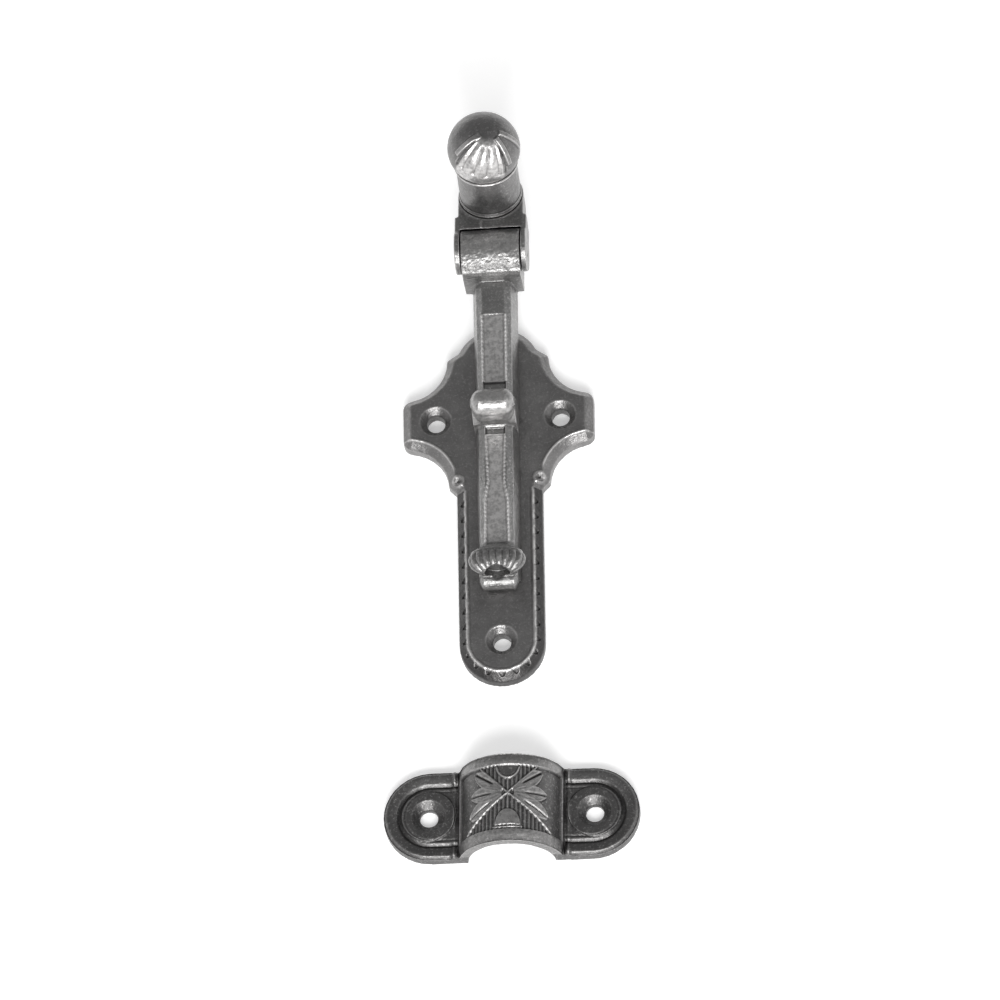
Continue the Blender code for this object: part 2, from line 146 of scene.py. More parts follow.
class IronNodes:
    """Short ways to add the shader nodes that the iron finishes are made of."""

    def __init__(self, material: bpy.types.Material) -> None:
        """Keep the node tree, and the coordinates that stay with the piece.

        Args:
            material: the material that the nodes are added to.
        """
        self.nodes = material.node_tree.nodes
        self.links = material.node_tree.links
        self.place = self.nodes.new("ShaderNodeTexCoord").outputs["Object"]

    def noise(self, grain: Grain) -> bpy.types.NodeSocket:
        """Add a layer of noise.

        Args:
            grain: the layer's scale, octaves and roughness.

        Returns:
            Its level, about 0 to 1.
        """
        node = self.nodes.new("ShaderNodeTexNoise")
        node.inputs["Scale"].default_value = grain.scale
        node.inputs["Detail"].default_value = grain.detail
        node.inputs["Roughness"].default_value = grain.rough
        self.links.new(self.place, node.inputs["Vector"])
        return node.outputs["Fac"]

    def ramp(self, value: bpy.types.NodeSocket, low: tuple[float, float],
             high: tuple[float, float]) -> bpy.types.NodeSocket:
        """Run a value through a grey ramp.

        Args:
            value: the socket to run through it.
            low: position and level of the first stop.
            high: position and level of the second stop.

        Returns:
            The ramp's level.
        """
        node = self.nodes.new("ShaderNodeValToRGB")
        for item, (position, level) in zip(node.color_ramp.elements, (low, high)):
            item.position = position
            item.color = (level, level, level, 1.0)
        self.links.new(value, node.inputs["Fac"])
        return node.outputs["Color"]

    def blend(self, factor: bpy.types.NodeSocket, first: bpy.types.NodeSocket | tuple[float, ...],
              second: bpy.types.NodeSocket | tuple[float, ...]) -> bpy.types.NodeSocket:
        """Mix two colours.

        Args:
            factor: share of the second colour.
            first: a socket or a fixed colour.
            second: the same.

        Returns:
            The mixed colour.
        """
        node = self.nodes.new("ShaderNodeMix")
        node.data_type = "RGBA"
        self.links.new(factor, node.inputs[0])
        for socket, value in ((node.inputs[6], first), (node.inputs[7], second)):
            if isinstance(value, bpy.types.NodeSocket):
                self.links.new(value, socket)
            else:
                socket.default_value = (*value, 1.0)
        return node.outputs[2]

    def attribute(self, name: str) -> bpy.types.NodeSocket:
        """Read a vertex attribute.

        Args:
            name: the attribute's name.

        Returns:
            Its value, 0 on a piece that lacks it.
        """
        node = self.nodes.new("ShaderNodeAttribute")
        node.attribute_name = name
        return node.outputs["Fac"]

    def reckon(self, operation: str, first: bpy.types.NodeSocket,
               second: bpy.types.NodeSocket | float, clamp: bool = False) -> bpy.types.NodeSocket:
        """Add, multiply or otherwise join two values.

        Args:
            operation: name of the sum, as the maths node has it.
            first: a socket.
            second: a socket or a fixed value.
            clamp: whether the result is kept within 0 to 1.

        Returns:
            The result.
        """
        node = self.nodes.new("ShaderNodeMath")
        node.operation = operation
        node.use_clamp = clamp
        self.links.new(first, node.inputs[0])
        if isinstance(second, bpy.types.NodeSocket):
            self.links.new(second, node.inputs[1])
        else:
            node.inputs[1].default_value = second
        return node.outputs[0]

    def bump(self, grain: Grain, strength: float, distance: float,
             under: bpy.types.NodeSocket | None = None) -> bpy.types.NodeSocket:
        """Roughen the surface with a layer of noise.

        Args:
            grain: the layer.
            strength: how much of it shows, 0 to 1.
            distance: its height in metres.
            under: the normal that it is laid on.

        Returns:
            The roughened normal.
        """
        node = self.nodes.new("ShaderNodeBump")
        node.inputs["Strength"].default_value = strength
        node.inputs["Distance"].default_value = distance
        self.links.new(self.noise(grain), node.inputs["Height"])
        if under is not None:
            self.links.new(under, node.inputs["Normal"])
        return node.outputs["Normal"]


@dataclass(frozen=True)
class CastIron:
    """Dark, slightly polished cast iron with grain and rubbed edges, with painted shade in the hollows
    and the painted highlights and shade of the vertex levels.
    """

    name: str
    base: tuple[float, float, float] = (0.135, 0.132, 0.132)
    rubbed_and_highlight: tuple[float, float, float] = (0.62, 0.61, 0.605)
    shade_dark: tuple[float, float, float] = (0.018, 0.017, 0.017)
    smooth: float = 0.30
    rough: float = 0.46
    grain: float = 0.00016
    wear: float = 1.0
    specks: float = 0.8
    metallic: float = 0.92
    mottle_gain: float = 1.4
    flat: float = 0.5
    mottle: Grain = Grain(160.0, 5.0, 0.6)
    speck: Grain = Grain(1500.0, 4.0, 0.7)
    patches: Grain = Grain(900.0, 4.0, 0.65)
    sheen: Grain = Grain(420.0, 4.0, 0.6)
    fine: Grain = Grain(1700.0, 5.0, 0.65)
    broad: Grain = Grain(520.0, 3.0, 0.55)

    def colour(self, iron: IronNodes) -> bpy.types.NodeSocket:
        """Mottled base with bright specks, rubbed metal on edges, painted shade in hollows, and the
        painted highlights and painted shade of the vertex levels.

        Args:
            iron: the material's nodes.

        Returns:
            The colour.
        """
        bend = iron.reckon("ADD", iron.attribute(BEND), self.flat)
        edge = iron.ramp(bend, (0.51, 0.0), (0.57, self.wear))
        # painted shade: concave spots blend towards the dark colour, standing in for shade in the
        # hollows
        cavity_shade = iron.ramp(bend, (0.42, 1.0), (0.497, 0.0))
        rub_and_light = iron.attribute(RUB_AND_LIGHT)
        patchy = iron.ramp(iron.noise(self.patches), (0.36, 0.35), (0.60, 1.0))
        # painted shade: vertex levels below 0 blend towards the dark colour
        shade_darkening = iron.reckon("MULTIPLY", rub_and_light, -1.0, clamp=True)
        light = tuple(self.mottle_gain * level for level in self.base)
        mottle = iron.ramp(iron.noise(self.mottle), (0.30, 0.0), (0.72, 1.0))
        colour = iron.blend(mottle, self.base, light)
        speck = iron.ramp(iron.noise(self.speck), (0.54, 0.0), (0.76, self.specks))
        colour = iron.blend(speck, colour, self.rubbed_and_highlight)
        # rubbed iron and painted highlights: vertex levels above 0 blend towards the bright colour
        colour = iron.blend(iron.reckon("MULTIPLY", rub_and_light, patchy), colour, self.rubbed_and_highlight)
        colour = iron.blend(edge, colour, self.rubbed_and_highlight)
        colour = iron.blend(shade_darkening, colour, self.shade_dark)
        return iron.blend(cavity_shade, colour, self.shade_dark)

    def build(self) -> bpy.types.Material:
        """Make the node material.

        Returns:
            The material.
        """
        material = bpy.data.materials.new(self.name)
        material.use_nodes = True
        iron = IronNodes(material)
        shader = iron.nodes["Principled BSDF"]
        shader.inputs["Metallic"].default_value = self.metallic
        iron.links.new(self.colour(iron), shader.inputs["Base Color"])
        gloss = iron.ramp(iron.noise(self.sheen), (0.3, self.smooth), (0.7, self.rough))
        iron.links.new(gloss, shader.inputs["Roughness"])
        broad = iron.bump(self.broad, 0.5, 2.2 * self.grain)
        iron.links.new(iron.bump(self.fine, 0.55, self.grain, broad), shader.inputs["Normal"])
        return material


@dataclass
class Casting:
    """A cast piece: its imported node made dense, softened, carved and given a sand-cast skin."""

    node: str
    body: Body
    slot: Slot
    finish: CastIron
    voxel: float = 0.25 * MM
    soften: int = 4
    skin: float = 0.035 * MM

    def dense(self) -> bpy.types.Object:
        """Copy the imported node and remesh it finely.

        Returns:
            The dense copy.
        """
        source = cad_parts[self.node]
        mesh = source.data.copy()
        piece = bpy.data.objects.new(self.node + "_cast", mesh)
        bpy.context.scene.collection.objects.link(piece)
        mesh.materials.clear()
        remesh = piece.modifiers.new("remesh", "REMESH")
        remesh.mode = "VOXEL"
        remesh.voxel_size = self.voxel
        soft = piece.modifiers.new("soften", "SMOOTH")
        soft.factor = 0.5
        soft.iterations = self.soften
        apply_modifiers(piece)
        return piece

    def carve(self, points: np.ndarray, normals: np.ndarray) -> np.ndarray:
        """Relief of this piece; a plain casting has none.

        Args:
            points: vertex places, one row each.
            normals: vertex normals; not used here.

        Returns:
            The moved places.
        """
        return points

    def rub_and_light_levels(self, points: np.ndarray, normals: np.ndarray) -> np.ndarray:
        """How bright each vertex is from rubbing and painted highlights (up to 1), or how dark from
        painted shade (down to -1).

        Args:
            points: vertex places, one row each.
            normals: vertex normals; not used here.

        Returns:
            One level for each vertex; a plain casting is not rubbed.
        """
        return np.zeros(len(points))

    def build(self) -> bpy.types.Object:
        """Make, carve, dress and mount the casting.

        Returns:
            The finished piece.
        """
        piece = self.dense()
        mesh = piece.data
        points, normals = mesh_arrays(mesh)
        set_rub_and_light(mesh, self.rub_and_light_levels(points, normals))
        points = self.carve(points, normals)
        points = points + normals * (self.skin * cast_skin(points))[:, None]
        mesh.vertices.foreach_set("co", points.astype(np.float32).ravel())
        mesh.shade_smooth()
        mesh.update()
        set_bend(mesh)
        mesh.materials.append(self.finish.build())
        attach(piece, self.body.value)
        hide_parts(self.node)
        LOG.info("%s: %d faces", piece.name, len(mesh.polygons))
        return piece


def apply_modifiers(piece: bpy.types.Object) -> None:
    """Replace an object's mesh with its evaluated one.

    Args:
        piece: the object.
    """
    graph = bpy.context.evaluated_depsgraph_get()
    graph.update()
    made = bpy.data.meshes.new_from_object(piece.evaluated_get(graph))
    piece.modifiers.clear()
    piece.data = made


def mesh_arrays(mesh: bpy.types.Mesh) -> tuple[np.ndarray, np.ndarray]:
    """Read a mesh's vertices.

    Args:
        mesh: the mesh.

    Returns:
        Vertex places and normals, one row each.
    """
    count = len(mesh.vertices)
    places = np.zeros(count * 3)
    normals = np.zeros(count * 3)
    mesh.vertices.foreach_get("co", places)
    mesh.vertex_normals.foreach_get("vector", normals)
    return places.reshape(-1, 3), normals.reshape(-1, 3)


def set_rub_and_light(mesh: bpy.types.Mesh, levels: np.ndarray) -> None:
    """Store each vertex's level of rubbing, painted highlight and painted shade, for the iron finishes.
    """
    attribute = mesh.attributes.new(RUB_AND_LIGHT, "FLOAT", "POINT")
    attribute.data.foreach_set("value", np.clip(levels, -1.0, 1.0).astype(np.float32))


def set_bend(mesh: bpy.types.Mesh) -> None:
    """Store how sharply the surface bends at each vertex, for the iron finishes.

    Args:
        mesh: the mesh, in its final shape.
    """
    points, normals = mesh_arrays(mesh)
    count = len(points)
    ends = np.zeros(2 * len(mesh.edges), dtype=np.int32)
    mesh.edges.foreach_get("vertices", ends)
    start, end = ends.reshape(-1, 2).T
    run = points[end] - points[start]
    run = run / np.maximum(np.linalg.norm(run, axis=1), 1e-12)[:, None]
    degree = np.maximum(np.bincount(ends, minlength=count), 1)
    away = np.stack([np.bincount(start, run[:, k], count) - np.bincount(end, run[:, k], count)
                     for k in range(3)], 1)
    outward = -(away * normals).sum(1) / degree
    bend = np.arcsin(np.clip(outward, -1.0, 1.0)) / math.pi
    near = np.bincount(start, bend[end], count) + np.bincount(end, bend[start], count)
    attribute = mesh.attributes.new(BEND, "FLOAT", "POINT")
    attribute.data.foreach_set("value", ((bend + near) / (1 + degree)).astype(np.float32))


def cast_skin(points: np.ndarray) -> np.ndarray:
    """Uneven height of a sand-cast skin.

    Args:
        points: places, one row each.

    Returns:
        A height for each, from about -2 to about 0.
    """
    coarse, fine = 700.0, 1900.0
    shift = Vector((37.3, 91.7, 13.1))
    values = [noise.noise(Vector(p) * coarse + shift) + 0.6 * noise.noise(Vector(p) * fine + shift)
              for p in points]
    return np.array(values) - 1.0


@dataclass
class Backplate(Casting):
    """Backplate with a beaded, chip-cut border, hollow-sided wings and a curl at each wing's root."""

    front_z: float = 5.5 * MM
    round_radius: float = 12.0 * MM
    low_y: float = -8.0 * MM
    border: float = 2.55 * MM
    chip_pitch: float = 4.7 * MM
    border_top_y: float = 38.0 * MM
    curl: tuple[float, float] = (11.4 * MM, 41.3 * MM)
    curl_radius: float = 1.5 * MM
    cove: tuple[float, float] = (26.0 * MM, 40.6 * MM)
    cove_radius: float = 11.8 * MM
    edge_width: float = 2.3 * MM
    crest_half: float = 0.50 * MM
    crest_rise: float = 0.22 * MM
    chip_depth: float = 0.50 * MM
    groove_in: float = 0.85 * MM
    groove_depth: float = 0.06 * MM
    curl_rise: float = 0.42 * MM
    eye_depth: float = 0.55 * MM
    arris_rise: float = 0.28 * MM
    stand_proud: float = 0.25 * MM

    def inset(self, x: np.ndarray, y: np.ndarray) -> np.ndarray:
        """Distance in from the outline of the plate's round-ended lower part."""
        return self.round_radius - np.hypot(x, np.minimum(y - self.low_y, 0.0))

    def along(self, x: np.ndarray, y: np.ndarray) -> np.ndarray:
        """Distance round that outline from the plate's foot.

        Args:
            x: places across the plate.
            y: places up the plate.

        Returns:
            The distances.
        """
        below = np.minimum(y - self.low_y, 0.0)
        angle = np.arctan2(np.abs(x), np.maximum(-below, 1e-9))
        quarter = self.round_radius * math.pi / 2
        return np.where(y < self.low_y, angle * self.round_radius, quarter + y - self.low_y)

    def border_relief(self, x: np.ndarray, y: np.ndarray) -> np.ndarray:
        """Beaded border line, with triangular chips outside it and a fine groove inside.

        Args:
            x: places across the plate.
            y: places up the plate.

        Returns:
            The height change at each place.
        """
        inset = self.inset(x, y)
        wave = np.abs((self.along(x, y) / self.chip_pitch) % 1.0 - 0.5) * 2.0
        crest = ridge(inset - self.border, self.crest_half)
        rise = crest * (1.0 + smoothstep(0.45, 0.9, wave)) * self.crest_rise
        outside = np.clip((self.border - inset) / (1.5 * MM), 0.0, 1.0)
        chip_half = 0.24 * (1.0 - outside)
        chip = smoothstep(0.10, 0.0, (1.0 - wave) * 0.5 - chip_half)
        chip = chip * smoothstep(0.02, 0.18, outside) * smoothstep(1.0, 0.75, outside)
        groove = ridge(inset - self.border - self.groove_in, 0.35 * MM)
        return rise - self.chip_depth * chip - self.groove_depth * groove

    def carve(self, points: np.ndarray, normals: np.ndarray) -> np.ndarray:
        """Border, the curls with their sunk eyes, and the arris under each wing.

        Args:
            points: vertex places, one row each.
            normals: vertex normals.

        Returns:
            The moved places.
        """
        x, y = points[:, 0], points[:, 1]
        facing = smoothstep(0.15, 0.5, normals[:, 2]) * (points[:, 2] > 0.4 * self.front_z)
        bordered = smoothstep(self.border_top_y + 0.4 * MM, self.border_top_y, y)
        lift = bordered * self.border_relief(x, y)
        far = np.hypot(np.abs(x) - self.curl[0], y - self.curl[1])
        lift += ridge(far - self.curl_radius, 0.55 * MM) * self.curl_rise
        lift -= ridge(far, 0.75 * MM) * self.eye_depth
        lift += self.arris(x, y) * self.arris_rise
        moved = points.copy()
        moved[:, 2] = np.minimum(points[:, 2] + facing * lift, self.front_z + self.stand_proud)
        return moved

    def arris(self, x: np.ndarray, y: np.ndarray) -> np.ndarray:
        """Raised line where a wing's face meets the sloping side of the hollow below it.

        Args:
            x: places across the plate.
            y: places up the plate.

        Returns:
            The line's strength, 0 to 1.
        """
        far = np.hypot(np.abs(x) - self.cove[0], y - self.cove[1])
        line = ridge(far - self.cove_radius - self.edge_width - 0.15 * MM, 0.40 * MM)
        return line * smoothstep(44.0 * MM, 46.0 * MM, y) * (y < 60.0 * MM)

    def rub_and_light_levels(self, points: np.ndarray, normals: np.ndarray) -> np.ndarray:
        """The raised lines and the curls are rubbed; the sloping edge outside the border gets painted
        shade.

        Args:
            points: vertex places, one row each.
            normals: vertex normals; not used here.

        Returns:
            One level for each vertex, -1 to 1.
        """
        x, y = points[:, 0], points[:, 1]
        inset = self.inset(x, y)
        front = points[:, 2] > self.front_z - 1.2 * MM
        line = ridge(inset - self.border, self.crest_half) * (y < self.border_top_y)
        far = np.hypot(np.abs(x) - self.curl[0], y - self.curl[1])
        curls = ridge(far - self.curl_radius, 0.6 * MM)
        # painted shade: the plate's sloping outer edge is darkened, standing in for the shade on it
        painted_slope_shade = smoothstep(self.border - 0.2 * MM, self.border - 0.7 * MM, inset)
        painted_slope_shade = painted_slope_shade * (y < self.border_top_y) * smoothstep(5.45 * MM, 5.1 * MM, points[:, 2])
        lines = front * (0.9 * line + 0.9 * self.arris(x, y) + 0.4 * curls)
        return np.where(painted_slope_shade > 0.05, 0.8 * lines - 0.75 * painted_slope_shade, lines)


@dataclass
class BoltBar(Casting):
    """Bolt bar: beaded front strip, grooves beside the grip, and a fluted shell over the nose."""

    front_z: float = 14.0 * MM
    strip_ys: tuple[float, ...] = (17.0, 31.0, 37.0, 51.0, 67.0, 90.0)
    strip_halves: tuple[float, ...] = (3.5, 3.3, 2.5, 2.9, 3.4, 3.5)
    panels: tuple[tuple[float, float], ...] = ((18.2, 50.9), (67.4, 88.0))
    grooves: tuple[float, float] = (52.3, 66.1)
    grip_y: float = 57.7 * MM
    grip_z: float = 20.6 * MM
    grip_radius: float = 3.8 * MM
    grip_half: float = 6.2 * MM
    grip_end: float = 3.0 * MM
    roll: tuple[float, float] = (8.8 * MM, 8.7 * MM)
    roll_radius: float = 2.9 * MM
    roll_half: float = 5.4 * MM
    roll_end: float = 1.3 * MM
    shell: tuple[float, float, float] = (0.0, 12.0 * MM, 14.8 * MM)
    shell_size: tuple[float, float] = (8.0 * MM, 4.7 * MM)
    flutes: int = 11
    flute_depth: float = 0.42 * MM
    rim_rise: float = 0.22 * MM
    bead_pitch: float = 1.25 * MM
    bead_rise: float = 0.42 * MM
    strip_depth: float = 0.24 * MM
    groove_depth: float = 0.95 * MM
    knuckle_grain: float = 0.11 * MM

    def strip_half(self, y: np.ndarray) -> np.ndarray:
        """Half width of the front strip at each Y."""
        return np.interp(y / MM, self.strip_ys, self.strip_halves) * MM

    def panel_mask(self, y: np.ndarray) -> np.ndarray:
        """1 along the panels between groove and neck, or groove and shell."""
        return sum(smoothstep(a - 0.3, a + 0.3, y / MM) * smoothstep(b + 0.3, b - 0.3, y / MM)
                   for a, b in self.panels)

    def front_mask(self, points: np.ndarray, normals: np.ndarray) -> np.ndarray:
        """Find the bar's front strip and chamfers.

        Args:
            points: vertex places, one row each.
            normals: vertex normals.

        Returns:
            1 on them, 0 on the bar's sides, grip, shell and head.
        """
        level = points[:, 2]
        near = (level > self.front_z - 2.0 * MM) * (level < self.front_z + 0.4 * MM)
        return near * smoothstep(0.4, 0.65, normals[:, 2])

    def beads(self, x: np.ndarray, y: np.ndarray) -> np.ndarray:
        """Beaded line along each side of the front strip."""
        knots = 0.72 + 0.28 * np.cos(2 * math.pi * y / self.bead_pitch)
        return ridge(np.abs(x) - self.strip_half(y) + 0.2 * MM, 0.38 * MM) * knots

    def rub_and_light_levels(self, points: np.ndarray, normals: np.ndarray) -> np.ndarray:
        """Hands rub the strip, its beads, the grip and the crest of the knuckle; the knuckle's slopes
        and the nose get painted shade.

        Args:
            points: vertex places, one row each.
            normals: vertex normals.

        Returns:
            One level for each vertex, above 0 where rubbed and below 0 for painted shade.
        """
        x, y, z = points.T
        front = self.front_mask(points, normals) * self.panel_mask(y)
        inside = smoothstep(self.strip_half(y), self.strip_half(y) - 0.6 * MM, np.abs(x))
        level = front * (1.0 * inside + 1.1 * self.beads(x, y))
        level += 0.16 * (normals[:, 2] < 0.6) * (y > 20.0 * MM) * (y < 92.0 * MM)
        level += 0.40 * (z > 16.5 * MM) * (np.abs(y - self.grip_y) < 5.0 * MM)
        # painted shade: the shell and roll at the nose are darkened where they face outward or towards
        # the bar's end
        level -= 0.25 * (y < 18.0 * MM) * smoothstep(-0.2, 0.6, normals[:, 2] - normals[:, 1])
        # the knuckle's crest is rubbed; its sloping sides get painted shade
        top = (y > HINGE[0] - 7.0 * MM) * (z > 18.0 * MM)
        crest = smoothstep(0.80, 0.92, normals[:, 2])
        painted_slope_shade = smoothstep(0.88, 0.72, normals[:, 2]) * smoothstep(0.25, 0.45, normals[:, 2])
        return level + top * (0.35 * crest - 0.55 * painted_slope_shade)

    def round_ends(self, points: np.ndarray) -> np.ndarray:
        """Round the ends of the grip and of the roll under the shell.

        Args:
            points: vertex places, one row each.

        Returns:
            The moved places.
        """
        x, y, z = points.T
        past = np.clip((np.abs(x) - self.grip_half + self.grip_end) / self.grip_end, 0.0, 0.94)
        on_grip = smoothstep(self.front_z + 0.3 * MM, self.front_z + 1.5 * MM, z)
        on_grip = on_grip * (np.abs(y - self.grip_y) < self.grip_radius + 0.6 * MM)
        scale = 1.0 - on_grip * (1.0 - np.sqrt(1.0 - past ** 2))
        moved = points.copy()
        moved[:, 1] = self.grip_y + (y - self.grip_y) * scale
        moved[:, 2] = np.where(on_grip > 0, self.grip_z + (z - self.grip_z) * scale, z)
        roll_y, roll_z = self.roll
        roll = (y < roll_y + 0.2 * MM) * (z < roll_z + self.roll_radius + 0.2 * MM)
        over = np.clip((np.abs(x) - self.roll_half + self.roll_end) / self.roll_end, 0.0, 0.88)
        shrink = np.where(roll, np.sqrt(1.0 - over ** 2), 1.0)
        moved[:, 1] = roll_y + (moved[:, 1] - roll_y) * shrink
        moved[:, 2] = np.where(roll, roll_z + (moved[:, 2] - roll_z) * shrink, moved[:, 2])
        return moved

    def strip_relief(self, points: np.ndarray, normals: np.ndarray) -> np.ndarray:
        """Sunk strip between beaded lines, and the groove each side of the grip.

        Args:
            points: vertex places, one row each.
            normals: vertex normals.

        Returns:
            The height change at each vertex.
        """
        x, y = points[:, 0], points[:, 1]
        half = self.strip_half(y)
        inside = smoothstep(half - 0.4 * MM, half - 0.8 * MM, np.abs(x))
        lift = self.bead_rise * self.beads(x, y) - self.strip_depth * inside
        lift = lift * self.panel_mask(y)
        for middle in self.grooves:
            cut = smoothstep(1.25, 0.85, np.abs(y / MM - middle))
            lift -= cut * smoothstep(half, half - 0.5 * MM, np.abs(x)) * self.groove_depth
        return self.front_mask(points, normals) * lift

    def shell_relief(self, points: np.ndarray) -> np.ndarray:
        """Flutes that fan out over the shell, and its raised upper rim.

        Args:
            points: vertex places, one row each.

        Returns:
            How far each vertex moves outward.
        """
        x, y, z = points.T
        cx, cy, cz = self.shell
        wide, deep = self.shell_size
        radial = np.sqrt(((x - cx) / wide) ** 2 + ((y - cy) / deep) ** 2 + ((z - cz) / deep) ** 2)
        on_shell = smoothstep(0.90, 0.96, radial) * (radial < 1.12) * (z > cz - 1.5 * MM)
        on_shell = on_shell * smoothstep(cy + 1.6 * MM, cy + 1.0 * MM, y)
        fan = np.arctan2(z - (cz - 2.0 * MM), x - cx)
        flute = np.abs(np.cos(fan * self.flutes))
        spread = np.hypot(x - cx, z - cz + 1.0 * MM)
        depth = self.flute_depth * smoothstep(3.6 * MM, 5.2 * MM, spread)
        rim = (radial > 0.9) * (radial < 1.12) * ridge(y - cy - 2.1 * MM, 0.5 * MM)
        return on_shell * (0.35 * depth - depth * (1.0 - flute)) + rim * self.rim_rise

    def carve(self, points: np.ndarray, normals: np.ndarray) -> np.ndarray:
        """Round the ends, roughen the knuckle, then cut the strip, grooves and flutes.

        Args:
            points: vertex places, one row each.
            normals: vertex normals.

        Returns:
            The moved places.
        """
        y, z = points[:, 1], points[:, 2]
        moved = self.round_ends(points)
        knuckle = smoothstep(HINGE[0] - 7.8 * MM, HINGE[0] - 6.8 * MM, y)
        knuckle = knuckle * smoothstep(0.35, 0.6, normals[:, 2]) * (z > 17.0 * MM)
        pitted = knuckle * self.knuckle_grain * cast_skin(points * 0.8)
        moved += normals * (pitted + self.shell_relief(points))[:, None]
        moved[:, 2] += self.strip_relief(points, normals)
        return moved


@dataclass
class ToggleArm(Casting):
    """Fork-ended arm with a rolled edge round the knob's seat and raised lines on its neck."""

    top: float = 4.4 * MM
    stem_u: float = 17.2 * MM
    seat: float = 9.2 * MM
    neck_line_x: float = -2.6 * MM
    line_rise: float = 0.22 * MM
    roll_rise: float = 0.20 * MM

    def carve(self, points: np.ndarray, normals: np.ndarray) -> np.ndarray:
        """Edge roll and neck line, worked out along and square to the arm.

        Args:
            points: vertex places, one row each.
            normals: vertex normals.

        Returns:
            The moved places.
        """
        along, rise = rotate(points[:, 1] - HINGE[0], points[:, 2] - HINGE[1], -LEAN)
        square = np.array([0.0, -math.sin(LEAN), math.cos(LEAN)])
        facing = smoothstep(0.4, 0.8, normals @ square) * (rise > self.top - 1.0 * MM)
        x = points[:, 0]
        far = np.hypot(x, along - self.stem_u)
        neck = smoothstep(self.seat + 0.1 * MM, self.seat + 0.5 * MM, far) * (along < self.stem_u)
        lift = neck * self.line_rise * ridge(x - self.neck_line_x, 0.35 * MM)
        lift += ridge(far - self.seat, 0.45 * MM) * self.roll_rise
        return points + square * (facing * lift)[:, None]


